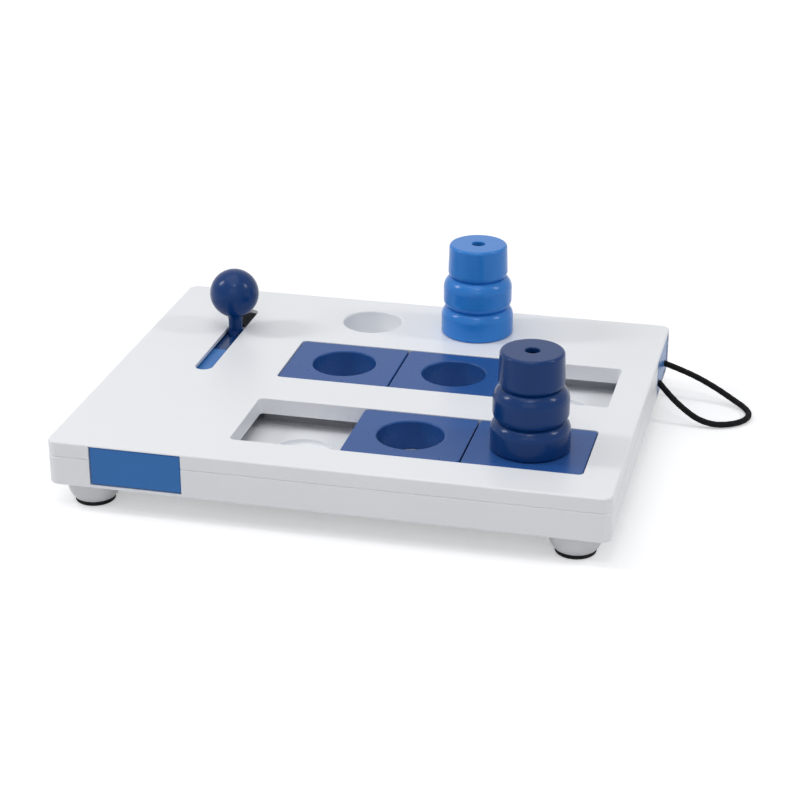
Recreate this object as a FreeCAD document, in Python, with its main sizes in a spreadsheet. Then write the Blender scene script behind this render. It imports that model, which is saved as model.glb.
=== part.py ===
import FreeCAD, Part
import math
import os

import Sketcher

# A dog puzzle feeder: a flat two-shell board on four feet, with two tracks of sliding tiles, two lift-off
# cones, a drawer that a ball lever pushes open and a drawer that a cord loop pulls open. Millimetres, +Z up,
# +X along the long side, front at -Y, origin on the floor under the middle of the board.

doc = FreeCAD.newDocument("puzzle_feeder")
sheet = doc.addObject("Spreadsheet::Sheet", "sizes")

UP = FreeCAD.Vector(0, 0, 1)


class Size:
    """A length: its value, and the formula by which the sheet's cells give it."""

    def __init__(self, value, formula):
        self.value = float(value)
        self.formula = formula

    def __add__(self, other):
        other = as_size(other)
        return Size(self.value + other.value, f"({self.formula} + {other.formula})")

    def __sub__(self, other):
        other = as_size(other)
        return Size(self.value - other.value, f"({self.formula} - {other.formula})")

    def __mul__(self, other):
        other = as_size(other)
        return Size(self.value * other.value, f"({self.formula} * {other.formula})")

    def __truediv__(self, other):
        other = as_size(other)
        return Size(self.value / other.value, f"({self.formula} / {other.formula})")

    def __neg__(self):
        return Size(-self.value, f"(0 - {self.formula})")

    def root(self):
        return Size(math.sqrt(self.value), f"sqrt({self.formula})")

    __radd__ = __add__


def as_size(number):
    return number if isinstance(number, Size) else Size(number, f"{number:.9g}")


def cell(name, value):
    """Adds a driving dimension to the sheet and returns it."""
    row = cell.rows = getattr(cell, "rows", 0) + 1
    sheet.set(f"A{row}", name)
    sheet.set(f"B{row}", f"{value}")
    sheet.setAlias(f"B{row}", name)
    return Size(value, f"sizes.{name}")


# Board shells
board_length = cell("board_length", 250.0)
board_width = cell("board_width", 200.0)
corner_radius = cell("corner_radius", 4.6)
cover_height = cell("cover_height", 7.1)
base_height = cell("base_height", 13.9)
shell_wall = cell("shell_wall", 2.4)
deck_thickness = cell("deck_thickness", 1.8)
floor_thickness = cell("floor_thickness", 1.8)
deck_round = cell("deck_round", 0.9)
base_round = cell("base_round", 1.4)
seam_chamfer = cell("seam_chamfer", 0.5)
lip_height = cell("lip_height", 1.8)
lip_thickness = cell("lip_thickness", 1.2)
lip_clearance = cell("lip_clearance", 0.2)

# Feet and their rubber rings
foot_height = cell("foot_height", 11.5)
foot_radius = cell("foot_radius", 11.6)
foot_toe_radius = cell("foot_toe_radius", 9.3)
foot_bulge_radius = cell("foot_bulge_radius", 10.0)
foot_inset_x = cell("foot_inset_x", 16.5)
foot_inset_y = cell("foot_inset_y", 14.0)
foot_peg_radius = cell("foot_peg_radius", 4.0)
foot_peg_clearance = cell("foot_peg_clearance", 0.1)
ring_height = cell("ring_height", 2.3)
ring_stand = cell("ring_stand", 1.0)
ring_outer_radius = cell("ring_outer_radius", 9.0)
ring_inner_radius = cell("ring_inner_radius", 6.2)

# Tracks and tiles
track_left_margin = cell("track_left_margin", 77.9)
track_right_margin = cell("track_right_margin", 15.6)
track_front_margin = cell("track_front_margin", 20.85)
track_rear_margin = cell("track_rear_margin", 60.55)
track_spacing = cell("track_spacing", 26.0)
track_corner = cell("track_corner", 2.2)
skirt_depth = cell("skirt_depth", 7.7)
skirt_wall = cell("skirt_wall", 1.8)
window_round = cell("window_round", 0.4)
track_floor_depth = cell("track_floor_depth", 14.4)
track_floor_margin = cell("track_floor_margin", 4.2)
well_radius = cell("well_radius", 14.4)
well_depth = cell("well_depth", 2.5)
well_round = cell("well_round", 2.0)
tile_length = cell("tile_length", 52.8)
tile_end_gap = cell("tile_end_gap", 0.4)
tile_between_gap = cell("tile_between_gap", 0.6)
tile_side_gap = cell("tile_side_gap", 0.35)
tile_drop = cell("tile_drop", 0.3)
tile_floor_gap = cell("tile_floor_gap", 0.3)
tile_wall = cell("tile_wall", 2.0)
tile_corner = cell("tile_corner", 1.8)
tile_edge = cell("tile_edge", 0.5)
tile_hole_radius = cell("tile_hole_radius", 15.0)
tile_hole_wall = cell("tile_hole_wall", 1.8)
tile_hole_round = cell("tile_hole_round", 0.8)
flange_reach = cell("flange_reach", 3.0)
flange_thickness = cell("flange_thickness", 2.4)
flange_gap = cell("flange_gap", 0.4)

# Cups sunk in the cover behind the tracks
cup_pitch = cell("cup_pitch", 53.0)
cup_shift = cell("cup_shift", 24.75)
cup_inset = cell("cup_inset", 28.6)
cup_radius = cell("cup_radius", 14.45)
cup_depth = cell("cup_depth", 12.0)
cup_wall = cell("cup_wall", 1.6)
cup_round = cell("cup_round", 0.9)

# Lift-off cones
cone_height = cell("cone_height", 45.4)
cone_wall = cell("cone_wall", 2.2)
cone_seat_gap = cell("cone_seat_gap", 0.05)
cone_foot_radius = cell("cone_foot_radius", 16.4)
low_tier_radius = cell("low_tier_radius", 17.6)
low_notch_radius = cell("low_notch_radius", 14.5)
low_notch_level = cell("low_notch_level", 13.8)
middle_tier_radius = cell("middle_tier_radius", 16.7)
top_notch_radius = cell("top_notch_radius", 12.9)
top_notch_level = cell("top_notch_level", 29.3)
top_tier_radius = cell("top_tier_radius", 14.5)
cone_shoulder_radius = cell("cone_shoulder_radius", 14.1)
cone_crown_radius = cell("cone_crown_radius", 12.7)
cone_cavity_radius = cell("cone_cavity_radius", 10.8)
cone_vent_radius = cell("cone_vent_radius", 3.2)
cone_vent_chamfer = cell("cone_vent_chamfer", 0.4)
spigot_radius = cell("spigot_radius", 13.6)
spigot_depth = cell("spigot_depth", 4.0)

# Drawers
drawer_width = cell("drawer_width", 41.5)
drawer_gap = cell("drawer_gap", 0.35)
drawer_mouth_lip = cell("drawer_mouth_lip", 0.8)
drawer_recess = cell("drawer_recess", 0.4)
drawer_wall = cell("drawer_wall", 1.6)
drawer_top_gap = cell("drawer_top_gap", 0.9)
drawer_tray_length = cell("drawer_tray_length", 48.0)
front_panel_thickness = cell("front_panel_thickness", 2.4)
front_panel_round = cell("front_panel_round", 0.5)
rail_thickness = cell("rail_thickness", 1.6)
rail_height = cell("rail_height", 11.0)
lever_drawer_inset = cell("lever_drawer_inset", 41.1)
cord_drawer_inset = cell("cord_drawer_inset", 27.0)

# Lever
slot_width = cell("slot_width", 8.6)
slot_front_y = cell("slot_front_y", -7.4)
slot_rear_y = cell("slot_rear_y", 73.2)
lever_y = cell("lever_y", 46.0)
lever_plate_length = cell("lever_plate_length", 30.0)
lever_plate_width = cell("lever_plate_width", 20.0)
lever_plate_thickness = cell("lever_plate_thickness", 4.0)
lever_plate_front = cell("lever_plate_front", 20.6)
lever_plate_gap = cell("lever_plate_gap", 0.2)
stem_radius = cell("stem_radius", 3.4)
stem_foot_radius = cell("stem_foot_radius", 4.0)
stem_foot_height = cell("stem_foot_height", 2.6)
knob_radius = cell("knob_radius", 12.0)
knob_level = cell("knob_level", 19.0)
knob_neck_fillet = cell("knob_neck_fillet", 3.2)
knob_neck_length = cell("knob_neck_length", 1.2)
pin_radius = cell("pin_radius", 2.0)
pin_length = cell("pin_length", 12.0)
pin_clearance = cell("pin_clearance", 0.05)

# Screws
boss_radius = cell("boss_radius", 3.6)
screw_shank_radius = cell("screw_shank_radius", 1.35)
screw_hole_clearance = cell("screw_hole_clearance", 0.2)
screw_pilot_clearance = cell("screw_pilot_clearance", 0.05)
screw_length = cell("screw_length", 11.0)
screw_head_radius = cell("screw_head_radius", 2.5)
screw_head_height = cell("screw_head_height", 1.7)
cross_length = cell("cross_length", 3.0)
cross_width = cell("cross_width", 0.5)
screw_sink = cell("screw_sink", 2.2)
screw_tip_gap = cell("screw_tip_gap", 1.0)
boss_split = cell("boss_split", 6.2)
lever_screw_length = cell("lever_screw_length", 5.0)
lever_screw_spread = cell("lever_screw_spread", 16.0)
screw_inset_left = cell("screw_inset_left", 10.4)
screw_inset_middle = cell("screw_inset_middle", 69.7)
screw_inset_right = cell("screw_inset_right", 6.9)
screw_inset_end = cell("screw_inset_end", 12.0)
screw_row_left = cell("screw_row_left", 42.0)
screw_row_right_front = cell("screw_row_right_front", 40.0)
screw_row_right_rear = cell("screw_row_right_rear", 26.0)

# Pull cord
cord_diameter = cell("cord_diameter", 3.2)
cord_hole_clearance = cell("cord_hole_clearance", 0.3)
cord_hole_spread = cell("cord_hole_spread", 24.0)
cord_hole_depth = cell("cord_hole_depth", 14.0)
knot_radius = cell("knot_radius", 3.0)
knot_gap = cell("knot_gap", 0.1)
knot_turn_radius = cell("knot_turn_radius", 1.3)
knot_tail = cell("knot_tail", 4.0)

# How far a cutting shape runs past the faces it cuts
overshoot = cell("overshoot", 1.0)

doc.recompute()

half_length = board_length / 2
half_width = board_width / 2
base_bottom = foot_height
floor_top = base_bottom + floor_thickness
seam = base_bottom + base_height
deck_top = seam + cover_height
deck_under = deck_top - deck_thickness
track_floor = deck_top - track_floor_depth
skirt_bottom = deck_top - skirt_depth
track_length = board_length - track_left_margin - track_right_margin
track_x = (track_left_margin - track_right_margin) / 2
track_width = (board_width - track_front_margin - track_rear_margin - track_spacing) / 2
front_track_y = track_front_margin + track_width / 2 - half_width
rear_track_y = half_width - track_rear_margin - track_width / 2
track_pitch = track_length / 3
cup_x = track_x - cup_shift
cup_y = half_width - cup_inset
lever_drawer_x = lever_drawer_inset - half_length
cord_drawer_y = half_width - cord_drawer_inset


# Sketches, pads and pockets


def bind(thing, prop, size):
    thing.setExpression(prop, as_size(size).formula)


def place(thing, x, y, z):
    for axis, size in zip("xyz", (x, y, z)):
        bind(thing, f"Placement.Base.{axis}", size)


def new_body(name):
    made = doc.addObject("PartDesign::Body", name)
    made.Label = name
    return made


def new_sketch(body, name, role, offset):
    """A sketch on one of the body's own origin planes, moved along its normal by offset."""
    made = body.newObject("Sketcher::SketchObject", name)
    support = [p for p in body.Origin.OriginFeatures if p.Role == role]
    made.AttachmentSupport = [(support[0], "")]
    made.MapMode = "FlatFace"
    bind(made, "AttachmentOffset.Base.z", offset)
    return made


def pin_point(sketch, geometry, end, x, y):
    """Dimensions one end of an edge from the sketch's origin."""
    for kind, size in (("DistanceX", x), ("DistanceY", y)):
        made = sketch.addConstraint(Sketcher.Constraint(kind, -1, 1, geometry, end, as_size(size).value))
        sketch.setExpression(f"Constraints[{made}]", as_size(size).formula)


def arc_between(start, end, radius):
    """The arc from start to end of that radius: it turns left if the radius is positive."""
    chord = end - start
    reach = abs(radius)
    rise = math.sqrt(max(reach * reach - chord.Length * chord.Length / 4, 0))
    side = FreeCAD.Vector(-chord.y, chord.x, 0).normalize() * math.copysign(rise, radius)
    centre = (start + end) / 2 + side
    first, last = (start, end) if radius > 0 else (end, start)
    angles = [math.atan2(p.y - centre.y, p.x - centre.x) for p in (first, last)]
    circle = Part.Circle(centre, UP, reach)
    return Part.ArcOfCircle(circle, angles[0], angles[1])


def draw(sketch, corners):
    """A closed outline. Each corner is (x, y, radius): radius is None for a straight edge to the next corner,
    or that of an arc, positive where it turns left. A disc() is drawn as one circle."""
    if isinstance(corners, dict):
        middle = FreeCAD.Vector(corners["x"].value, corners["y"].value, 0)
        circle = sketch.addGeometry(Part.Circle(middle, UP, corners["radius"].value))
        made = sketch.addConstraint(Sketcher.Constraint("Radius", circle, corners["radius"].value))
        sketch.setExpression(f"Constraints[{made}]", corners["radius"].formula)
        pin_point(sketch, circle, 3, corners["x"], corners["y"])
        return
    flat = [FreeCAD.Vector(as_size(x).value, as_size(y).value, 0) for x, y, radius in corners]
    ends = []
    for index, (x, y, radius) in enumerate(corners):
        start, end = flat[index], flat[(index + 1) % len(flat)]
        if radius is None:
            edge = sketch.addGeometry(Part.LineSegment(start, end))
            ends.append((edge, 1, 2))
            continue
        signed = as_size(radius).value
        edge = sketch.addGeometry(arc_between(start, end, signed))
        ends.append((edge, 1, 2) if signed > 0 else (edge, 2, 1))
        size = as_size(radius) if signed > 0 else -as_size(radius)
        made = sketch.addConstraint(Sketcher.Constraint("Radius", edge, size.value))
        sketch.setExpression(f"Constraints[{made}]", size.formula)
    for index, (x, y, radius) in enumerate(corners):
        edge, first, last = ends[index]
        after, after_first, after_last = ends[(index + 1) % len(ends)]
        sketch.addConstraint(Sketcher.Constraint("Coincident", edge, last, after, after_first))
        pin_point(sketch, edge, first, x, y)


def rectangle(x, y):
    return [(x[0], y[0], None), (x[1], y[0], None), (x[1], y[1], None), (x[0], y[1], None)]


def rounded(x, y, radius):
    """A rectangle with round corners."""
    return [
        (x[0] + radius, y[0], None),
        (x[1] - radius, y[0], radius),
        (x[1], y[0] + radius, None),
        (x[1], y[1] - radius, radius),
        (x[1] - radius, y[1], None),
        (x[0] + radius, y[1], radius),
        (x[0], y[1] - radius, None),
        (x[0], y[0] + radius, radius),
    ]


def long_slot(x, width, y):
    """A slot along Y with round ends."""
    radius = width / 2
    return [
        (x - radius, y[0] + radius, radius),
        (x, y[0], radius),
        (x + radius, y[0] + radius, None),
        (x + radius, y[1] - radius, radius),
        (x, y[1], radius),
        (x - radius, y[1] - radius, None),
    ]


def disc(centre, radius):
    """A full circle, which draw() takes in place of corners."""
    return {"x": as_size(centre[0]), "y": as_size(centre[1]), "radius": as_size(radius)}


def spread(middle, width):
    """The two ends of a width about its middle."""
    return (as_size(middle) - width / 2, as_size(middle) + width / 2)


def feature(body, kind, name, sketch, length):
    made = body.newObject(f"PartDesign::{kind}", name)
    made.Profile = sketch
    bind(made, "Length", length)
    sketch.Visibility = False
    return made


def pad(body, name, outline, z):
    """Adds the outline from z[0] up to z[1]."""
    sketch = new_sketch(body, f"{name}_sketch", "XY_Plane", z[0])
    draw(sketch, outline)
    return feature(body, "Pad", name, sketch, z[1] - z[0])


def pocket(body, name, outline, z):
    """Cuts the outline from z[1] down to z[0]."""
    sketch = new_sketch(body, f"{name}_sketch", "XY_Plane", z[1])
    draw(sketch, outline)
    return feature(body, "Pocket", name, sketch, z[1] - z[0])


def revolve(body, name, outline):
    """Turns an outline of (radius, height) corners about the body's own Z axis."""
    sketch = new_sketch(body, f"{name}_sketch", "XZ_Plane", 0)
    draw(sketch, outline)
    made = body.newObject("PartDesign::Revolution", name)
    made.Profile = sketch
    made.ReferenceAxis = (sketch, ["V_Axis"])
    made.Angle = 360
    sketch.Visibility = False
    return made


def soften(body, name, radius, wanted, kind="Fillet"):
    """Rounds, or chamfers, each edge of the body so far that wanted() picks."""
    doc.recompute()
    base = body.Tip
    edges = [f"Edge{n + 1}" for n, edge in enumerate(base.Shape.Edges) if wanted(edge)]
    made = body.newObject(f"PartDesign::{kind}", name)
    made.Base = (base, edges)
    bind(made, "Radius" if kind == "Fillet" else "Size", radius)
    return made


CLOSE = 0.01


def near(a, b):
    return abs(a - b) < CLOSE


def level_edge(height):
    """Picks the edges that lie flat at a height."""
    return lambda edge: near(edge.BoundBox.ZMin, height.value) and near(edge.BoundBox.ZMax, height.value)


def round_edge(height, radius):
    """Picks the round edges of that radius that lie flat at a height."""
    def wanted(edge):
        curve = edge.Curve
        return level_edge(height)(edge) and hasattr(curve, "Radius") and near(curve.Radius, radius.value)
    return wanted


def block(name, x, y, z):
    """A box between pairs of sizes."""
    made = doc.addObject("Part::Box", name)
    for side, axis, (low, high) in zip(("Length", "Width", "Height"), "xyz", (x, y, z)):
        bind(made, side, high - low)
        bind(made, f"Placement.Base.{axis}", low)
    return made


def post(name, centre, z, radius):
    """An upright cylinder."""
    made = doc.addObject("Part::Cylinder", name)
    bind(made, "Radius", radius)
    bind(made, "Height", z[1] - z[0])
    place(made, centre[0], centre[1], z[0])
    return made


def joined(name, parts):
    made = doc.addObject("Part::MultiFuse", name)
    made.Shapes = parts
    return made


# Where things stand

screw_spots = [
    (screw_inset_left - half_length, -screw_row_left),
    (screw_inset_left - half_length, screw_row_left),
    (screw_inset_middle - half_length, screw_inset_end - half_width),
    (screw_inset_middle - half_length, half_width - screw_inset_end),
    (half_length - screw_inset_right, -screw_row_right_front),
    (half_length - screw_inset_right, screw_row_right_rear),
    (track_x, (front_track_y + rear_track_y) / 2),
]
foot_spots = {
    "front_left": (foot_inset_x - half_length, foot_inset_y - half_width),
    "front_right": (half_length - foot_inset_x, foot_inset_y - half_width),
    "rear_left": (foot_inset_x - half_length, half_width - foot_inset_y),
    "rear_right": (half_length - foot_inset_x, half_width - foot_inset_y),
}
cup_spots = {"left": (cup_x - cup_pitch / 2, cup_y), "right": (cup_x + cup_pitch / 2, cup_y)}
tracks = {"rear": rear_track_y, "front": front_track_y}
drawer_bottom = floor_top + drawer_gap
panel_top = deck_top - drawer_mouth_lip - drawer_gap
tray_top = deck_under - drawer_top_gap
mouth_width = drawer_width + drawer_gap * 2
mouth_depth = drawer_recess + front_panel_thickness + drawer_gap
boss_joint = floor_top + boss_split
lever_drawer_end = lever_y - lever_plate_front - lever_plate_gap + lever_plate_length + lever_plate_gap * 2
cord_tray_end = drawer_recess + front_panel_thickness + drawer_tray_length + drawer_wall


def mouth(middle):
    """The width of a drawer's mouth in a side wall, about its middle."""
    return spread(middle, mouth_width)


def front_wall():
    """From outside the front wall to just behind a drawer's front panel."""
    return (-half_width - overshoot, mouth_depth - half_width)


def right_wall():
    """From just behind a drawer's front panel to outside the right wall."""
    return (half_length - mouth_depth, half_length + overshoot)


# Cover


def shell_outline(inset):
    x = spread(0, board_length - inset * 2)
    y = spread(0, board_width - inset * 2)
    return rounded(x, y, corner_radius - inset)


def window(y, grow):
    """A track's opening in the cover, grown by an amount all round."""
    x = spread(track_x, track_length + grow * 2)
    return rounded(x, spread(y, track_width + grow * 2), track_corner + grow)


def window_edge(y):
    """Picks the deck's edges round a track's opening."""
    def wanted(edge):
        middle = edge.BoundBox.Center
        across = abs(middle.y - y.value) <= track_width.value / 2 + CLOSE
        along = abs(middle.x - track_x.value) <= track_length.value / 2 + CLOSE
        return across and along and level_edge(deck_top)(edge)
    return wanted


def make_cover():
    body = new_body("top_cover")
    pad(body, "cover_block", shell_outline(as_size(0)), (seam, deck_top))
    soften(body, "cover_round", deck_round, level_edge(deck_top))
    soften(body, "cover_seam", seam_chamfer, level_edge(seam), "Chamfer")
    pocket(body, "cover_hollow", shell_outline(shell_wall), (seam, deck_under))
    for side, y in tracks.items():
        pad(body, f"{side}_skirt", window(y, skirt_wall), (skirt_bottom, deck_under + deck_thickness / 2))
    for side, spot in cup_spots.items():
        outside = cup_radius + cup_wall
        pad(body, f"{side}_cup", disc(spot, outside), (deck_top - cup_depth - cup_wall, deck_under))
    for index, spot in enumerate(screw_spots):
        pad(body, f"cover_boss_{index + 1}", disc(spot, boss_radius), (boss_joint, deck_under))
    for side, y in tracks.items():
        pocket(body, f"{side}_window", window(y, as_size(0)), (skirt_bottom - overshoot, deck_top + overshoot))
    for side, spot in cup_spots.items():
        pocket(body, f"{side}_cup_bore", disc(spot, cup_radius), (deck_top - cup_depth, deck_top + overshoot))
    for index, spot in enumerate(screw_spots):
        pilot = disc(spot, screw_shank_radius + screw_pilot_clearance)
        top = floor_top + screw_length + screw_tip_gap
        pocket(body, f"cover_pilot_{index + 1}", pilot, (boss_joint - overshoot, top))
    lever_slot = long_slot(lever_drawer_x, slot_width, (slot_front_y, slot_rear_y))
    pocket(body, "lever_slot", lever_slot, (deck_under - overshoot, deck_top + overshoot))
    notch = (seam - overshoot, deck_top - drawer_mouth_lip)
    pocket(body, "front_mouth", rectangle(mouth(lever_drawer_x), front_wall()), notch)
    pocket(body, "side_mouth", rectangle(right_wall(), mouth(cord_drawer_y)), notch)
    soften(body, "cup_lips", cup_round, round_edge(deck_top, cup_radius))
    for side, y in tracks.items():
        soften(body, f"{side}_window_lips", window_round, window_edge(y))
    return body


# Base


def track_bed(y, inset):
    """A track's raised floor in the base."""
    x = spread(track_x, track_length + (track_floor_margin - inset) * 2)
    margin = flange_reach + track_floor_margin - inset
    return rectangle(x, spread(y, track_width + margin * 2))


def lip_outline(inset):
    return shell_outline(shell_wall + lip_clearance + inset)


def lever_bay(grow):
    """The channel in which the lever's drawer runs, from the front wall to its rear stop."""
    x = spread(lever_drawer_x, mouth_width + grow * 2)
    return rectangle(x, (shell_wall / 2 - half_width, lever_drawer_end + drawer_gap + grow))


def cord_bay(grow):
    """The channel in which the corded drawer runs, from its inner stop to the right wall."""
    inner = half_length - cord_tray_end - drawer_gap - grow
    return rectangle((inner, half_length - shell_wall / 2), spread(cord_drawer_y, mouth_width + grow * 2))


def make_base():
    body = new_body("base_tray")
    pad(body, "base_block", shell_outline(as_size(0)), (base_bottom, seam))
    soften(body, "base_round", base_round, level_edge(base_bottom))
    soften(body, "base_seam", seam_chamfer, level_edge(seam), "Chamfer")
    pocket(body, "base_hollow", shell_outline(shell_wall), (floor_top, seam))
    pad(body, "lip_root", shell_outline(shell_wall / 2), (seam - lip_height, seam))
    pad(body, "lip", lip_outline(as_size(0)), (seam - lip_height, seam + lip_height))
    pocket(body, "lip_hollow", lip_outline(lip_thickness), (seam - lip_height, seam + lip_height))
    rail_top = floor_top + rail_height
    pad(body, "lever_rails", lever_bay(rail_thickness), (floor_top, rail_top))
    pocket(body, "lever_channel", lever_bay(as_size(0)), (floor_top, rail_top))
    pad(body, "cord_rails", cord_bay(rail_thickness), (floor_top, rail_top))
    pocket(body, "cord_channel", cord_bay(as_size(0)), (floor_top, rail_top))
    for side, y in tracks.items():
        pad(body, f"{side}_bed", track_bed(y, as_size(0)), (floor_top, track_floor))
        under = (base_bottom, track_floor - floor_thickness)
        pocket(body, f"{side}_bed_hollow", track_bed(y, floor_thickness), under)
        for step in (-1, 0, 1):
            spot = (track_x + track_pitch * step, y)
            label = f"{side}_well_{step + 2}"
            bottom = track_floor - well_depth
            around = disc(spot, well_radius + floor_thickness)
            pad(body, f"{label}_boss", around, (bottom - floor_thickness, track_floor))
            pocket(body, label, disc(spot, well_radius), (bottom, track_floor))
    well_bottom = track_floor - well_depth
    soften(body, "well_rounds", well_round, round_edge(well_bottom, well_radius))
    hole = screw_shank_radius + screw_hole_clearance
    sink = screw_head_radius + screw_hole_clearance
    for index, spot in enumerate(screw_spots):
        pad(body, f"base_boss_{index + 1}", disc(spot, boss_radius), (floor_top, boss_joint))
        pocket(body, f"base_hole_{index + 1}", disc(spot, hole), (base_bottom, boss_joint))
        pocket(body, f"base_sink_{index + 1}", disc(spot, sink), (base_bottom, base_bottom + screw_sink))
    for side, spot in foot_spots.items():
        peg_hole = disc(spot, foot_peg_radius + foot_peg_clearance)
        pocket(body, f"{side}_peg_hole", peg_hole, (base_bottom, floor_top))
    notch = (floor_top, seam + lip_height + overshoot)
    inside = shell_wall + lip_clearance + lip_thickness
    front = (-half_width - overshoot, inside - half_width)
    side = (half_length - inside, half_length + overshoot)
    pocket(body, "base_front_mouth", rectangle(mouth(lever_drawer_x), front), notch)
    pocket(body, "base_side_mouth", rectangle(side, mouth(cord_drawer_y)), notch)
    return body


# Feet, rings and screws


def make_foot(name, spot):
    """A bowl-shaped foot: a peg on top, and a groove below for its rubber ring."""
    body = new_body(name)
    groove_top = ring_height
    outline = [
        (0, ring_stand, None),
        (ring_inner_radius, ring_stand, None),
        (ring_inner_radius, groove_top, None),
        (foot_toe_radius, groove_top, foot_bulge_radius),
        (foot_radius, foot_height, None),
        (foot_peg_radius, foot_height, None),
        (foot_peg_radius, foot_height + floor_thickness, None),
        (0, foot_height + floor_thickness, None),
    ]
    revolve(body, f"{name}_turned", outline)
    place(body, spot[0], spot[1], 0)
    return body


def make_ring(name, spot):
    """A rubber ring with a round outer edge."""
    body = new_body(name)
    bend = ring_height / 3
    outline = [
        (ring_inner_radius, 0, None),
        (ring_outer_radius - bend, 0, bend),
        (ring_outer_radius, bend, None),
        (ring_outer_radius, ring_height, None),
        (ring_inner_radius, ring_height, None),
    ]
    revolve(body, f"{name}_turned", outline)
    place(body, spot[0], spot[1], 0)
    return body


def make_screw(name, spot, head_bottom, shank_top):
    """A pan-head screw that stands upright, head down, with a cross recess."""
    head_top = head_bottom + screw_head_height
    head = post(f"{name}_head", spot, (head_bottom, head_top), screw_head_radius)
    shank = post(f"{name}_shank", spot, (head_top, shank_top), screw_shank_radius)
    whole = joined(f"{name}_whole", [head, shank])
    depth = (head_bottom - overshoot, head_bottom + screw_head_height / 2)
    arms = [
        block(f"{name}_arm_x", spread(spot[0], cross_length), spread(spot[1], cross_width), depth),
        block(f"{name}_arm_y", spread(spot[0], cross_width), spread(spot[1], cross_length), depth),
    ]
    made = doc.addObject("Part::Cut", name)
    made.Base = whole
    made.Tool = joined(f"{name}_cross", arms)
    return made


def make_screws(name, spots, head_bottom, shank_top):
    made = doc.addObject("Part::Compound", name)
    made.Links = [
        make_screw(f"{name}_{index + 1}", spot, head_bottom, shank_top) for index, spot in enumerate(spots)
    ]
    made.Label = name
    return made


# Tiles

tile_bottom = track_floor + tile_floor_gap
tile_top = deck_top - tile_drop
flange_top = skirt_bottom - flange_gap


def make_tile(name, x, y):
    """A sliding tile: a hollow block with a round hole, and a flange that the cover's skirt holds down."""
    body = new_body(name)
    across = track_width - tile_side_gap * 2
    long_side, short_side = spread(0, tile_length), spread(0, across)
    pad(body, f"{name}_block", rounded(long_side, short_side, tile_corner), (tile_bottom, tile_top))
    soften(body, f"{name}_edges", tile_edge, level_edge(tile_top))
    inner = rectangle(spread(0, tile_length - tile_wall * 2), spread(0, across - tile_wall * 2))
    pocket(body, f"{name}_hollow", inner, (tile_bottom, tile_top - tile_wall))
    for side in (-1, 1):
        y_near = across / 2 * side - tile_wall / 2 * side
        y_far = (track_width / 2 + flange_reach) * side
        ends = (y_near, y_far) if side > 0 else (y_far, y_near)
        flange_z = (flange_top - flange_thickness, flange_top)
        label = "rear" if side > 0 else "front"
        pad(body, f"{name}_{label}_flange", rectangle(spread(0, tile_length), ends), flange_z)
    collar = disc((0, 0), tile_hole_radius + tile_hole_wall)
    pad(body, f"{name}_collar", collar, (tile_bottom, tile_top - tile_wall / 2))
    pocket(body, f"{name}_hole", disc((0, 0), tile_hole_radius), (tile_bottom, tile_top))
    soften(body, f"{name}_lip", tile_hole_round, round_edge(tile_top, tile_hole_radius))
    place(body, x, y, 0)
    return body


def tile_middles():
    """Where the four tiles rest: two at the left of the rear track, two at the right of the front one."""
    low = track_x - track_length / 2 + tile_end_gap + tile_length / 2
    high = track_x + track_length / 2 - tile_end_gap - tile_length / 2
    step = tile_length + tile_between_gap
    return {
        "tile_rear_left": (low, rear_track_y),
        "tile_rear_middle": (low + step, rear_track_y),
        "tile_front_middle": (high - step, front_track_y),
        "tile_front_right": (high, front_track_y),
    }


# Cones


NOTCH_SWELL = 0.58
NOTCH_RISE = math.sqrt(1 - (1 - NOTCH_SWELL) ** 2)


def make_cone(name, spot, seat):
    """A cone of three drums with round shoulders, hollow, with a vent on top and a spigot that drops into a hole."""
    body = new_body(name)
    foot_curve = low_tier_radius - cone_foot_radius
    low_top = (low_tier_radius - low_notch_radius) / NOTCH_SWELL
    middle_foot = (middle_tier_radius - low_notch_radius) / NOTCH_SWELL
    middle_top = (middle_tier_radius - top_notch_radius) / NOTCH_SWELL
    top_foot = (top_tier_radius - top_notch_radius) / NOTCH_SWELL
    crown = cone_shoulder_radius - cone_crown_radius
    vent_edge = cone_vent_radius + cone_vent_chamfer
    outline = [
        (cone_cavity_radius, -spigot_depth, None),
        (spigot_radius, -spigot_depth, None),
        (spigot_radius, 0, None),
        (cone_foot_radius, 0, foot_curve),
        (low_tier_radius, foot_curve, None),
        (low_tier_radius, low_notch_level - low_top * NOTCH_RISE, low_top),
        (low_notch_radius, low_notch_level, middle_foot),
        (middle_tier_radius, low_notch_level + middle_foot * NOTCH_RISE, None),
        (middle_tier_radius, top_notch_level - middle_top * NOTCH_RISE, middle_top),
        (top_notch_radius, top_notch_level, top_foot),
        (top_tier_radius, top_notch_level + top_foot * NOTCH_RISE, None),
        (cone_shoulder_radius, cone_height - crown, crown),
        (cone_crown_radius, cone_height, None),
        (vent_edge, cone_height, None),
        (cone_vent_radius, cone_height - cone_vent_chamfer, None),
        (cone_vent_radius, cone_height - cone_wall, None),
        (cone_cavity_radius, cone_height - cone_wall, None),
    ]
    revolve(body, f"{name}_turned", outline)
    place(body, spot[0], spot[1], seat + cone_seat_gap)
    return body


# Drawers


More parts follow.
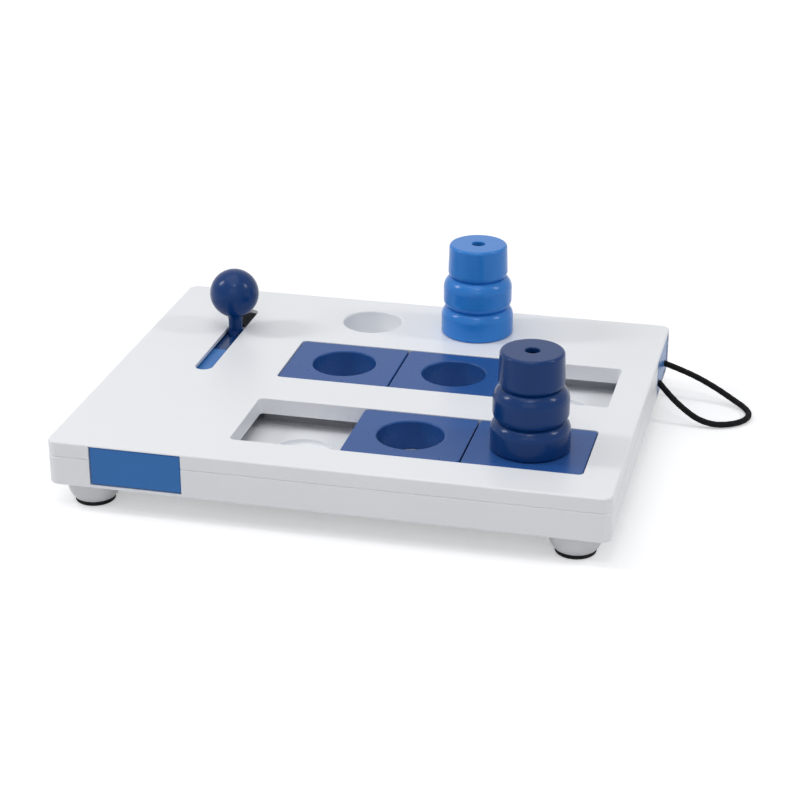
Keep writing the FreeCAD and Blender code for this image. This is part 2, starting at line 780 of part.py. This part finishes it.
def drawer_block(body, name, length):
    """The front panel and the tray behind it. The panel's outer face is at y 0 and the tray runs to +y."""
    panel_y = (drawer_recess, drawer_recess + front_panel_thickness)
    panel = rectangle(spread(0, drawer_width), panel_y)
    pad(body, f"{name}_panel", panel, (drawer_bottom, panel_top))

    def face_edge(edge):
        box = edge.BoundBox
        return near(box.YMin, drawer_recess.value) and near(box.YMax, drawer_recess.value)

    soften(body, f"{name}_panel_edges", front_panel_round, face_edge)
    tray_y = (drawer_recess + front_panel_thickness / 2, length)
    pad(body, f"{name}_tray", rectangle(spread(0, drawer_width), tray_y), (drawer_bottom, tray_top))
    inner_y = (panel_y[1], panel_y[1] + drawer_tray_length)
    inner = rounded(spread(0, drawer_width - drawer_wall * 2), inner_y, drawer_wall)
    pocket(body, f"{name}_hollow", inner, (drawer_bottom + drawer_wall, tray_top))


def make_lever_drawer():
    """The drawer that the lever pushes out: a tray in front, and a long deck behind it that reaches the lever."""
    body = new_body("lever_drawer")
    length = lever_drawer_end + half_width
    drawer_block(body, "lever_drawer", length)
    deck_start = drawer_recess + front_panel_thickness + drawer_tray_length + drawer_wall
    seat_start = lever_y + half_width - lever_plate_front - lever_plate_gap
    inner_x = spread(0, drawer_width - drawer_wall * 2)
    seat_top = tray_top - lever_plate_thickness
    under = (drawer_bottom, seat_top - drawer_wall)
    pocket(body, "lever_drawer_under", rectangle(inner_x, (deck_start, length - drawer_wall)), under)
    raised = (seat_top - drawer_wall, tray_top - drawer_wall)
    under_deck = rectangle(inner_x, (deck_start, seat_start - drawer_wall))
    pocket(body, "lever_drawer_under_deck", under_deck, raised)
    seat = rectangle(spread(0, drawer_width + overshoot * 2), (seat_start, length + overshoot))
    pocket(body, "lever_seat", seat, (seat_top, tray_top + overshoot))
    for index, (x, y) in enumerate(lever_screw_spots()):
        hole = disc((x - lever_drawer_x, y + half_width), screw_shank_radius + screw_hole_clearance)
        pocket(body, f"lever_drawer_hole_{index + 1}", hole, (seat_top - drawer_wall, seat_top))
    place(body, lever_drawer_x, -half_width, 0)
    return body


def make_cord_drawer():
    """The drawer that the cord loop pulls out to the right, turned from the same block."""
    body = new_body("cord_drawer")
    drawer_block(body, "cord_drawer", cord_tray_end)
    across = new_sketch(body, "cord_holes_sketch", "XZ_Plane", 0)
    for side in (-1, 1):
        draw(across, disc((cord_hole_spread / 2 * side, cord_hole_height), cord_hole_radius))
    feature(body, "Pocket", "cord_holes", across, drawer_recess + front_panel_thickness + overshoot)
    body.Placement.Rotation = FreeCAD.Rotation(UP, 90)
    place(body, half_length, cord_drawer_y, 0)
    return body


# Lever

knob_middle = deck_top + knob_level
plate_top = tray_top
plate_bottom = tray_top - lever_plate_thickness
neck_rise = knob_radius + knob_neck_fillet
neck_reach = stem_radius + knob_neck_fillet
neck_drop = (neck_rise * neck_rise - neck_reach * neck_reach).root()
knob_bottom = knob_middle - neck_drop - knob_neck_length


def lever_screw_spots():
    middle = lever_y - lever_plate_front + lever_plate_length / 2
    return [(lever_drawer_x, y) for y in spread(middle, lever_screw_spread)]


def make_lever_arm():
    """A plate that sits on the drawer, with a round stem that rises through the slot and ends in a pin."""
    body = new_body("lever_arm")
    front = -lever_plate_front
    outline = rounded(spread(0, lever_plate_width), (front, front + lever_plate_length), tile_corner)
    pad(body, "lever_plate", outline, (plate_bottom, plate_top))
    stem = [
        (0, plate_top - lever_plate_thickness / 2, None),
        (stem_foot_radius, plate_top - lever_plate_thickness / 2, None),
        (stem_foot_radius, plate_top, None),
        (stem_radius, plate_top + stem_foot_height, None),
        (stem_radius, knob_bottom, None),
        (pin_radius, knob_bottom, None),
        (pin_radius, knob_bottom + pin_length, None),
        (0, knob_bottom + pin_length, None),
    ]
    revolve(body, "lever_stem", stem)
    for index, (x, y) in enumerate(lever_screw_spots()):
        pilot = disc((x - lever_drawer_x, y - lever_y), screw_shank_radius + screw_pilot_clearance)
        depth = lever_screw_length - drawer_wall + screw_pilot_clearance
        pocket(body, f"lever_pilot_{index + 1}", pilot, (plate_bottom, plate_bottom + depth))
    place(body, lever_drawer_x, lever_y, 0)
    return body


def make_knob():
    """A ball on a short neck, bored for the stem's pin."""
    body = new_body("lever_knob")
    share = knob_radius / neck_rise
    bore = pin_radius + pin_clearance
    bore_top = knob_bottom + pin_length + pin_clearance
    outline = [
        (bore, knob_bottom, None),
        (stem_radius, knob_bottom, None),
        (stem_radius, knob_middle - neck_drop, -knob_neck_fillet),
        (neck_reach * share, knob_middle - neck_drop * share, knob_radius),
        (knob_radius, knob_middle, knob_radius),
        (0, knob_middle + knob_radius, None),
        (0, bore_top, None),
        (bore, bore_top, None),
    ]
    revolve(body, "lever_knob_turned", outline)
    place(body, lever_drawer_x, lever_y, 0)
    return body


# Pull cord

cord_radius = cord_diameter / 2
cord_hole_radius = cord_radius + cord_hole_clearance
cord_hole_height = deck_top - cord_hole_depth

# The loop's points from the rear hole round to the front one, chosen by hand: out from the right wall, back
# from the drawer's middle and up from the floor.
CORD_ROUTE = [
    (0.0, 12.0, 18.5),
    (8.0, 13.6, 15.2),
    (17.0, 14.2, 11.4),
    (26.8, 12.2, 7.2),
    (35.2, 9.0, 3.4),
    (41.4, 4.0, 1.9),
    (44.2, -3.4, 1.8),
    (42.2, -11.2, 1.8),
    (36.4, -16.8, 1.8),
    (28.6, -19.6, 1.9),
    (20.8, -19.8, 3.9),
    (13.8, -18.2, 7.8),
    (6.2, -15.2, 13.0),
    (0.0, -12.0, 18.5),
]
ARC_SHARE = 0.45
KNOT_TILT = 35


def cord_points():
    """The route in the board's frame. Its two ends follow the holes in the drawer's panel."""
    x0 = (half_length - drawer_recess).value
    y0 = cord_drawer_y.value
    points = [FreeCAD.Vector(x0 + out, y0 + back, up) for out, back, up in CORD_ROUTE]
    half = cord_hole_spread.value / 2
    for index, sign in ((0, 1), (-1, -1)):
        points[index] = FreeCAD.Vector(points[index].x, y0 + half * sign, cord_hole_height.value)
    return points


def rounded_path(points):
    """Straight runs joined by tangent arcs, each as large as its two runs allow."""
    edges = []
    start = points[0]
    radii = []
    for before, corner, after in zip(points, points[1:], points[2:]):
        back = (before - corner).normalize()
        ahead = (after - corner).normalize()
        turn = math.pi - back.getAngle(ahead)
        setback = ARC_SHARE * min((before - corner).Length, (after - corner).Length)
        radius = setback / math.tan(turn / 2)
        radii.append(radius)
        arc_start = corner + back * setback
        arc_end = corner + ahead * setback
        bisector = (back + ahead).normalize()
        centre = corner + bisector * (radius / math.cos(turn / 2))
        middle = centre - bisector * radius
        edges.append(Part.LineSegment(start, arc_start).toShape())
        edges.append(Part.Arc(arc_start, middle, arc_end).toShape())
        start = arc_end
    edges.append(Part.LineSegment(start, points[-1]).toShape())
    return Part.Wire(edges), radii


def make_cord():
    """The free loop of the pull cord, from hole to hole."""
    path, radii = rounded_path(cord_points())
    first = path.Edges[0]
    direction = first.tangentAt(first.FirstParameter)
    circle = Part.Circle(path.Vertexes[0].Point, direction, cord_radius.value)
    section = Part.Wire([circle.toShape()])
    made = doc.addObject("Part::Feature", "pull_cord")
    made.Shape = path.makePipeShell([section], True, False)
    made.Label = "pull_cord"
    expected = math.pi * cord_radius.value ** 2 * path.Length
    print("cord length", round(path.Length, 1), "smallest bend radii", [round(r, 1) for r in sorted(radii)[:4]])
    print("cord volume over section times length", round(made.Shape.Volume / expected, 4))
    return made


def make_knots():
    """The cord's two ends: each passes through the panel and ends in a knot behind it."""
    outer = half_length - drawer_recess
    inner = outer - front_panel_thickness
    knot_middle = inner - knot_gap - knot_radius
    made = doc.addObject("Part::Compound", "cord_knots")
    pieces = []
    for side, sign in (("rear", 1), ("front", -1)):
        y = cord_drawer_y + cord_hole_spread / 2 * sign
        through = doc.addObject("Part::Cylinder", f"{side}_end")
        bind(through, "Radius", cord_radius)
        bind(through, "Height", outer - knot_middle + knot_radius + knot_tail)
        through.Placement.Rotation = FreeCAD.Rotation(FreeCAD.Vector(0, 1, 0), 90)
        place(through, knot_middle - knot_radius - knot_tail, y, cord_hole_height)
        lumps = [through]
        for tilt in (-KNOT_TILT, KNOT_TILT):
            turn = doc.addObject("Part::Torus", f"{side}_turn_{'a' if tilt < 0 else 'b'}")
            bind(turn, "Radius1", knot_radius - knot_turn_radius)
            bind(turn, "Radius2", knot_turn_radius)
            turn.Placement.Rotation = FreeCAD.Rotation(UP, tilt) * FreeCAD.Rotation(FreeCAD.Vector(0, 1, 0), 90)
            place(turn, knot_middle, y, cord_hole_height)
            lumps.append(turn)
        pieces.append(joined(f"{side}_knot", lumps))
    made.Links = pieces
    made.Label = "cord_knots"
    return made


def make_all():
    parts = [make_cover(), make_base()]
    for side, spot in foot_spots.items():
        parts.append(make_foot(f"foot_{side}", spot))
        parts.append(make_ring(f"rubber_ring_{side}", spot))
    shank_top = base_bottom + screw_sink + screw_length - screw_head_height
    parts.append(make_screws("shell_screws", screw_spots, base_bottom + screw_sink - screw_head_height, shank_top))
    middles = tile_middles()
    for name, (x, y) in middles.items():
        parts.append(make_tile(name, x, y))
    parts.append(make_cone("light_cone", cup_spots["right"], deck_top))
    parts.append(make_cone("dark_cone", middles["tile_front_right"], tile_top))
    parts.append(make_lever_drawer())
    parts.append(make_lever_arm())
    parts.append(make_knob())
    head_bottom = plate_bottom - drawer_wall - screw_head_height
    tip = plate_bottom - drawer_wall + lever_screw_length
    parts.append(make_screws("lever_screws", lever_screw_spots(), head_bottom, tip))
    parts.append(make_cord_drawer())
    parts.append(make_knots())
    parts.append(make_cord())
    return parts


def check(parts):
    """Every object worked out, and every sub-part is one or more sound solids."""
    doc.recompute()
    for thing in doc.Objects:
        if "Invalid" in thing.State or "Error" in thing.State:
            raise ValueError(f"{thing.Name} did not work out: {thing.State}")
        if thing.TypeId == "PartDesign::Pocket" and thing.Shape.Volume >= thing.BaseFeature.Shape.Volume:
            raise ValueError(f"{thing.Name} cuts nothing")
    for part in parts:
        shape = part.Shape
        if shape.isNull() or not shape.isValid() or not shape.Solids:
            raise ValueError(f"{part.Label} is not a sound solid")


finished = make_all()
check(finished)
os.makedirs("parts", exist_ok=True)
for item in finished:
    item.Shape.exportStep(os.path.join("parts", f"{item.Label}.step"))
print(len(finished), "parts written")
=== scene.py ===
import math

import bpy
from mathutils import Matrix, Vector


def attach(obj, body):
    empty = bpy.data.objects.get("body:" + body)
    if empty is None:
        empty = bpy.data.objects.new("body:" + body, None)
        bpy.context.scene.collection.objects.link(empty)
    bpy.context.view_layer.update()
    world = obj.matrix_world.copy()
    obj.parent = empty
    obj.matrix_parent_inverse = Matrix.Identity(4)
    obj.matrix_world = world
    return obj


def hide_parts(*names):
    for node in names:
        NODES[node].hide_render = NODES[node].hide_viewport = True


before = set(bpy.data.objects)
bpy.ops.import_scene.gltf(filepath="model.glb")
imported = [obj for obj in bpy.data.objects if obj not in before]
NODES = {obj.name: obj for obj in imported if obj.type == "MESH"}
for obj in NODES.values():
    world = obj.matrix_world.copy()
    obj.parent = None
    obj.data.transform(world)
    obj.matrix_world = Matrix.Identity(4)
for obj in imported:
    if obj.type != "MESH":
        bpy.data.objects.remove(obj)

# A dog puzzle feeder on a pale floor, in metres and in the board's own frame: +X along its long side, the
# front at -Y and the floor at 0. The CAD parts keep their shape and get their finish here. The pull cord is
# braided from its strands.

MM = 0.001
SCENE = bpy.context.scene
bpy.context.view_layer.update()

# Camera

CAMERA_PLACE = Vector((221.75, -873.54, 417.14)) * MM
CAMERA_AIM = Vector((15.86, -20.55, 32.5)) * MM
CAMERA_ROLL = math.radians(-0.04)
CAMERA_LENS = 94.35
SENSOR_WIDTH = 36.0
NEAREST_SEEN = 0.01


def place_facing(made, place, aim, roll=0.0):
    """Puts a camera or lamp at the place, turned to face the aim, and into the scene."""
    turn = (Vector(aim) - Vector(place)).to_track_quat("-Z", "Y").to_matrix().to_4x4()
    made.matrix_world = Matrix.Translation(place) @ turn @ Matrix.Rotation(roll, 4, "Z")
    SCENE.collection.objects.link(made)


def add_camera():
    data = bpy.data.cameras.new("camera")
    data.sensor_width = SENSOR_WIDTH
    data.lens = CAMERA_LENS
    data.clip_start = NEAREST_SEEN
    made = bpy.data.objects.new("camera", data)
    place_facing(made, CAMERA_PLACE, CAMERA_AIM, CAMERA_ROLL)
    SCENE.camera = made


# Pull cord

# The floor below the middle of the cord drawer's panel, and the points that shape the cord's route from
# there, in millimetres. The cord leaves by the rear hole and comes back in by the front one.
CORD_START = Vector((124.6, 73.0, 0.0))
CORD_ROUTE = [
    (0.0, 12.0, 18.5),
    (8.0, 13.6, 15.2),
    (17.0, 14.2, 11.4),
    (26.8, 12.2, 7.2),
    (35.2, 9.0, 3.4),
    (41.4, 4.0, 1.9),
    (44.2, -3.4, 1.8),
    (42.2, -11.2, 1.8),
    (36.4, -16.8, 1.8),
    (28.6, -19.6, 1.9),
    (20.8, -19.8, 3.9),
    (13.8, -18.2, 7.8),
    (6.2, -15.2, 13.0),
    (0.0, -12.0, 18.5),
]
ROUTE_STEPS = 24
STRANDS_EACH_WAY = 8
STRAND_RADIUS = 0.37 * MM
STRAND_SIDES = 5
# The strands wind round a core at this radius, and rise and sink by the wave where they cross. The pitch is
# the length of a full turn, and the step is the length between two rings of a strand.
BRAID_RADIUS = 1.08 * MM
BRAID_WAVE = 0.13 * MM
BRAID_PITCH = 8.0 * MM
BRAID_STEP = 0.45 * MM
CORE_RADIUS = 1.05 * MM
CORE_SIDES = 12


def route_line():
    """Points along the smooth line of the cord's route."""
    curve = bpy.data.curves.new("cord_route", "CURVE")
    curve.dimensions = "3D"
    curve.resolution_u = ROUTE_STEPS
    spline = curve.splines.new("NURBS")
    spline.points.add(len(CORD_ROUTE) - 1)
    for point, place in zip(spline.points, CORD_ROUTE):
        point.co = (*((CORD_START + Vector(place)) * MM), 1.0)
    spline.order_u = 3
    spline.use_endpoint_u = True
    holder = bpy.data.objects.new("cord_route", curve)
    mesh = bpy.data.meshes.new_from_object(holder)
    line = [vertex.co.copy() for vertex in mesh.vertices]
    bpy.data.objects.remove(holder)
    bpy.data.curves.remove(curve)
    bpy.data.meshes.remove(mesh)
    return line


def even_steps(line, step):
    """The line again, with its points a step apart."""
    lengths = [0.0]
    for a, b in zip(line, line[1:]):
        lengths.append(lengths[-1] + (b - a).length)
    count = max(2, round(lengths[-1] / step))
    even = []
    index = 0
    for number in range(count + 1):
        along = lengths[-1] * number / count
        while index < len(line) - 2 and lengths[index + 1] < along:
            index += 1
        share = (along - lengths[index]) / (lengths[index + 1] - lengths[index])
        even.append(line[index].lerp(line[index + 1], min(max(share, 0.0), 1.0)))
    return even


def frames_along(points):
    """(point, side, up) at each point, turned as little as possible from one to the next."""
    made = []
    side = Vector((0.0, 0.0, 1.0))
    for index, point in enumerate(points):
        ahead = points[min(index + 1, len(points) - 1)] - points[max(index - 1, 0)]
        ahead.normalize()
        side = (side - ahead * side.dot(ahead)).normalized()
        made.append((point, side, ahead.cross(side)))
    return made


def add_tube(vertices, faces, centres, radius, sides):
    """Adds a capped tube round a list of centres to the mesh's lists."""
    first = len(vertices)
    for point, side, up in frames_along(centres):
        for number in range(sides):
            angle = math.tau * number / sides
            vertices.append(point + side * math.cos(angle) * radius + up * math.sin(angle) * radius)
    for ring in range(len(centres) - 1):
        for number in range(sides):
            a = first + ring * sides + number
            b = first + ring * sides + (number + 1) % sides
            faces.append((a, b, b + sides, a + sides))
    faces.append(tuple(first + number for number in reversed(range(sides))))
    last = first + (len(centres) - 1) * sides
    faces.append(tuple(last + number for number in range(sides)))


def strand_line(frames, number, way):
    """One strand of the braid, which goes over and under the strands that wind the other way."""
    line = []
    along = 0.0
    for index, (point, side, up) in enumerate(frames):
        if index:
            along += (point - frames[index - 1][0]).length
        angle = math.tau * (number / STRANDS_EACH_WAY + way * along / BRAID_PITCH)
        crossed = number + 2 * STRANDS_EACH_WAY * along / BRAID_PITCH
        reach = BRAID_RADIUS + way * BRAID_WAVE * math.cos(math.pi * (number + crossed))
        line.append(point + side * math.cos(angle) * reach + up * math.sin(angle) * reach)
    return line


def add_cord():
    line = even_steps(route_line(), BRAID_STEP)
    frames = frames_along(line)
    vertices = []
    faces = []
    add_tube(vertices, faces, line, CORE_RADIUS, CORE_SIDES)
    for way in (-1, 1):
        for number in range(STRANDS_EACH_WAY):
            add_tube(vertices, faces, strand_line(frames, number, way), STRAND_RADIUS, STRAND_SIDES)
    mesh = bpy.data.meshes.new("pull_cord_braid")
    mesh.from_pydata(vertices, [], faces)
    mesh.shade_smooth()
    made = bpy.data.objects.new("pull_cord_braid", mesh)
    SCENE.collection.objects.link(made)
    mesh.materials.append(cord_fabric())
    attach(made, "cord_drawer")
    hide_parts("pull_cord")


# Materials


def linear(red, green, blue):
    """A screen colour, 0 to 255, in the linear values that a shader takes, by the sRGB formula."""
    shares = [value / 255 for value in (red, green, blue)]
    return [s / 12.92 if s <= 0.04045 else ((s + 0.055) / 1.055) ** 2.4 for s in shares] + [1.0]


def shaded(colour, factor):
    return [min(value * factor, 1.0) for value in colour[:3]] + [1.0]


def map_range(tree, source, start, end):
    """A number that goes between the two of end as the source goes between the two of start."""
    made = tree.nodes.new("ShaderNodeMapRange")
    for name, value in zip(("From Min", "From Max", "To Min", "To Max"), (*start, *end)):
        made.inputs[name].default_value = value
    tree.links.new(source, made.inputs["Value"])
    return made.outputs["Result"]


class Finish:
    """A material under construction, with short ways to shape its colour, roughness and relief."""

    def __init__(self, name):
        self.material = bpy.data.materials.new(name)
        self.material.use_nodes = True
        self.tree = self.material.node_tree
        self.shader = self.tree.nodes["Principled BSDF"]
        self.place = self.tree.nodes.new("ShaderNodeTexCoord").outputs["Object"]

    def join(self, source, target):
        self.tree.links.new(source, target)

    def set(self, **values):
        for name, value in values.items():
            self.shader.inputs[name.replace("_", " ")].default_value = value

    def noise(self, waves, detail, stretch=(1.0, 1.0, 1.0)):
        """Noise of that many waves a metre. A small factor for an axis stretches it that way."""
        mapping = self.tree.nodes.new("ShaderNodeMapping")
        mapping.inputs["Scale"].default_value = stretch
        self.join(self.place, mapping.inputs["Vector"])
        made = self.tree.nodes.new("ShaderNodeTexNoise")
        made.inputs["Scale"].default_value = waves
        made.inputs["Detail"].default_value = detail
        self.join(mapping.outputs["Vector"], made.inputs["Vector"])
        return made.outputs["Fac"]

    def colour_by(self, source, limits, dark, light):
        """The colour goes from dark to light as the source goes between the limits."""
        made = self.tree.nodes.new("ShaderNodeValToRGB")
        for element, limit, colour in zip(made.color_ramp.elements, limits, (dark, light)):
            element.position = limit
            element.color = colour
        self.join(source, made.inputs["Fac"])
        self.join(made.outputs["Color"], self.shader.inputs["Base Color"])

    def roughness_by(self, source, limits, ends):
        """The roughness goes between its ends as the source goes between the limits."""
        self.join(map_range(self.tree, source, limits, ends), self.shader.inputs["Roughness"])

    def bump(self, source, depth, strength=1.0, under=None):
        """A relief of that depth in metres, on top of another relief if there is one under it."""
        made = self.tree.nodes.new("ShaderNodeBump")
        made.inputs["Strength"].default_value = strength
        made.inputs["Distance"].default_value = depth
        self.join(source, made.inputs["Height"])
        if under is not None:
            self.join(under, made.inputs["Normal"])
        return made.outputs["Normal"]

    def relief(self, normal):
        self.join(normal, self.shader.inputs["Normal"])


PLASTIC_IOR = 1.46
PLASTIC_SINK_DEPTH = 0.03 * MM
RUBBER_GRAIN_DEPTH = 0.03 * MM
STEEL_SCRATCH_DEPTH = 0.01 * MM
FIBRE_DEPTH = 0.05 * MM
# Wear changes a plastic's roughness by this much at the least and at the most.
WEAR_RANGE = (-0.01, 0.03)


def moulded_plastic(name, colour, roughness, grain, cloud, shine):
    """Moulded plastic with faint flow clouds, shallow sinks, a fine grain and patches of light wear."""
    finish = Finish(name)
    clouds = finish.noise(waves=14.0, detail=3.0)
    finish.colour_by(clouds, (0.35, 0.65), shaded(colour, 1 - cloud), shaded(colour, 1 + cloud))
    wear = finish.noise(waves=70.0, detail=4.0)
    finish.roughness_by(wear, (0.35, 0.75), [roughness + change for change in WEAR_RANGE])
    sinks = finish.bump(finish.noise(waves=45.0, detail=1.0), PLASTIC_SINK_DEPTH, strength=0.2)
    pores = finish.noise(waves=2600.0, detail=2.0)
    finish.relief(finish.bump(pores, grain, strength=0.6, under=sinks))
    finish.set(IOR=PLASTIC_IOR, Specular_IOR_Level=shine)
    return finish.material


def rubber(name, colour):
    """Dull rubber, paler where dust sits in its pores."""
    finish = Finish(name)
    dust = finish.noise(waves=180.0, detail=4.0)
    finish.colour_by(dust, (0.4, 0.75), colour, shaded(colour, 1.8))
    finish.roughness_by(dust, (0.3, 0.7), (0.62, 0.82))
    finish.relief(finish.bump(finish.noise(waves=1500.0, detail=3.0), RUBBER_GRAIN_DEPTH))
    finish.set(Specular_IOR_Level=0.15)
    return finish.material


def plated_steel(name, colour):
    """Plated steel with faint stains and fine scratches along Y."""
    finish = Finish(name)
    stains = finish.noise(waves=420.0, detail=3.0)
    finish.colour_by(stains, (0.35, 0.7), shaded(colour, 0.82), colour)
    finish.roughness_by(stains, (0.3, 0.7), (0.28, 0.45))
    scratches = finish.noise(waves=1800.0, detail=2.0, stretch=(1.0, 0.15, 1.0))
    finish.relief(finish.bump(scratches, STEEL_SCRATCH_DEPTH))
    finish.set(Metallic=1.0)
    return finish.material


def cord_fabric():
    """Black braided polyester, with the fine filaments of its strands and a little sheen."""
    finish = Finish("braided_cord")
    black = linear(14, 14, 16)
    fibres = finish.noise(waves=3200.0, detail=3.0)
    finish.colour_by(fibres, (0.35, 0.7), shaded(black, 0.7), shaded(black, 1.9))
    finish.roughness_by(fibres, (0.3, 0.7), (0.55, 0.8))
    finish.relief(finish.bump(fibres, FIBRE_DEPTH))
    finish.set(Specular_IOR_Level=0.15, Sheen_Weight=0.02, Sheen_Roughness=0.4)
    return finish.material


def dress(material, *starts):
    """Gives the material to each CAD node whose name starts with one of those words."""
    for name in NODES:
        if name.startswith(starts):
            for slot in NODES[name].material_slots:
                slot.material = material


# Each plastic's colour on a screen, its finish and the nodes that are made of it. Grain is a depth, cloud is
# the share by which the colour varies, and shine is the shader's specular level.
PLASTICS = {
    "white_shell_plastic": (
        (238, 240, 243),
        {"roughness": 0.34, "grain": 0.01 * MM, "cloud": 0.01, "shine": 0.45},
        ("top_cover", "base_tray"),
    ),
    # The feet are the shell's white plastic. Their darker grey is painted shade, which stands for the shadow
    # under the board.
    "foot_plastic_painted_shade": (
        (216, 217, 219),
        {"roughness": 0.36, "grain": 0.01 * MM, "cloud": 0.01, "shine": 0.45},
        ("foot_",),
    ),
    "tile_plastic": (
        (40, 83, 148),
        {"roughness": 0.28, "grain": 0.01 * MM, "cloud": 0.02, "shine": 0.22},
        ("tile_",),
    ),
    "sky_blue_plastic": (
        (44, 126, 208),
        {"roughness": 0.2, "grain": 0.006 * MM, "cloud": 0.02, "shine": 0.3},
        ("light_cone",),
    ),
    "navy_plastic": (
        (12, 55, 112),
        {"roughness": 0.2, "grain": 0.008 * MM, "cloud": 0.02, "shine": 0.22},
        ("dark_cone", "lever_arm", "lever_knob"),
    ),
    "drawer_plastic": (
        (56, 116, 184),
        {"roughness": 0.3, "grain": 0.008 * MM, "cloud": 0.02, "shine": 0.22},
        ("lever_drawer", "cord_drawer"),
    ),
}


def add_materials():
    for name, (colour, finish, starts) in PLASTICS.items():
        dress(moulded_plastic(name, linear(*colour), **finish), *starts)
    dress(rubber("black_rubber", linear(28, 28, 30)), "rubber_ring_")
    dress(plated_steel("plated_steel", linear(196, 198, 202)), "shell_screws", "lever_screws")
    dress(cord_fabric(), "cord_knots")


# Floor and light

FLOOR_REACH = 6.0
FLOOR_COLOUR = (0.82, 0.82, 0.83, 1.0)
# The floor's own glow near the object and far from it, and the distances between which it grows
FLOOR_GLOW = (0.38, 0.80)
FLOOR_GLOW_REACH = (0.22, 0.75)
WORLD_LIGHT = 0.3
WORLD_COLOUR = (0.97, 0.98, 1.0, 1.0)
WHITE = (1.0, 1.0, 1.0, 1.0)
# Each lamp's place, the point that it faces, its two sides and its power in watts
LAMPS = {
    "overhead": ((-0.15, -0.1, 1.3), (0.0, 0.0, 0.02), (1.3, 1.0), 5.6),
    "left_box": ((-0.95, -0.15, 0.8), (0.0, 0.0, 0.05), (0.16, 0.36), 3.6),
    "right_box": ((0.95, 0.05, 0.8), (0.0, 0.0, 0.05), (0.14, 0.32), 2.2),
    "front": ((0.15, -1.35, 0.8), (0.0, 0.0, 0.03), (1.0, 0.7), 2.1),
    "small_front": ((0.145, -0.6, 1.05), (0.0, 0.0, 0.05), (0.2, 0.12), 1.0),
}


def seen_rays(tree):
    """1 for the rays that show the background: to the camera, off a gloss or through something clear."""
    rays = tree.nodes.new("ShaderNodeLightPath")
    total = rays.outputs["Is Camera Ray"]
    for kind in ("Is Glossy Ray", "Is Transmission Ray"):
        either = tree.nodes.new("ShaderNodeMath")
        either.operation = "MAXIMUM"
        tree.links.new(total, either.inputs[0])
        tree.links.new(rays.outputs[kind], either.inputs[1])
        total = either.outputs["Value"]
    return total


def pale_floor():
    """White where it is seen, with the shadow kept near the object."""
    material = bpy.data.materials.new("pale_floor")
    material.use_nodes = True
    tree = material.node_tree
    tree.nodes.clear()
    diffuse = tree.nodes.new("ShaderNodeBsdfDiffuse")
    diffuse.inputs["Color"].default_value = FLOOR_COLOUR
    place = tree.nodes.new("ShaderNodeTexCoord")
    distance = tree.nodes.new("ShaderNodeVectorMath")
    distance.operation = "LENGTH"
    strength = tree.nodes.new("ShaderNodeMath")
    strength.operation = "MULTIPLY"
    glow = tree.nodes.new("ShaderNodeEmission")
    total = tree.nodes.new("ShaderNodeAddShader")
    out = tree.nodes.new("ShaderNodeOutputMaterial")
    tree.links.new(place.outputs["Object"], distance.inputs[0])
    growth = map_range(tree, distance.outputs["Value"], FLOOR_GLOW_REACH, FLOOR_GLOW)
    tree.links.new(growth, strength.inputs[0])
    tree.links.new(seen_rays(tree), strength.inputs[1])
    tree.links.new(strength.outputs["Value"], glow.inputs["Strength"])
    tree.links.new(diffuse.outputs["BSDF"], total.inputs[0])
    tree.links.new(glow.outputs["Emission"], total.inputs[1])
    tree.links.new(total.outputs["Shader"], out.inputs["Surface"])
    return material


def add_floor():
    mesh = bpy.data.meshes.new("floor")
    sides = [(-1, -1), (1, -1), (1, 1), (-1, 1)]
    corners = [(x * FLOOR_REACH, y * FLOOR_REACH, 0.0) for x, y in sides]
    mesh.from_pydata(corners, [], [(0, 1, 2, 3)])
    made = bpy.data.objects.new("floor", mesh)
    SCENE.collection.objects.link(made)
    mesh.materials.append(pale_floor())


def add_world():
    """An even studio light, which shows as white."""
    world = bpy.data.worlds.new("studio")
    SCENE.world = world
    world.use_nodes = True
    tree = world.node_tree
    background = tree.nodes["Background"]
    background.inputs["Color"].default_value = WORLD_COLOUR
    background.inputs["Strength"].default_value = WORLD_LIGHT
    white = tree.nodes.new("ShaderNodeBackground")
    white.inputs["Color"].default_value = WHITE
    white.inputs["Strength"].default_value = 1.0
    blend = tree.nodes.new("ShaderNodeMixShader")
    tree.links.new(seen_rays(tree), blend.inputs["Fac"])
    tree.links.new(background.outputs["Background"], blend.inputs[1])
    tree.links.new(white.outputs["Background"], blend.inputs[2])
    tree.links.new(blend.outputs["Shader"], tree.nodes["World Output"].inputs["Surface"])


def add_lamps():
    """Soft boxes: a wide one above, one high at each side for the bright edges, and two in front."""
    for name, (place, aim, sides, power) in LAMPS.items():
        data = bpy.data.lights.new(name, "AREA")
        data.shape = "RECTANGLE"
        data.size, data.size_y = sides
        data.energy = power
        made = bpy.data.objects.new(name, data)
        place_facing(made, place, aim)


SCENE.view_settings.view_transform = "Standard"
add_camera()
add_materials()
add_cord()
add_floor()
add_world()
add_lamps()
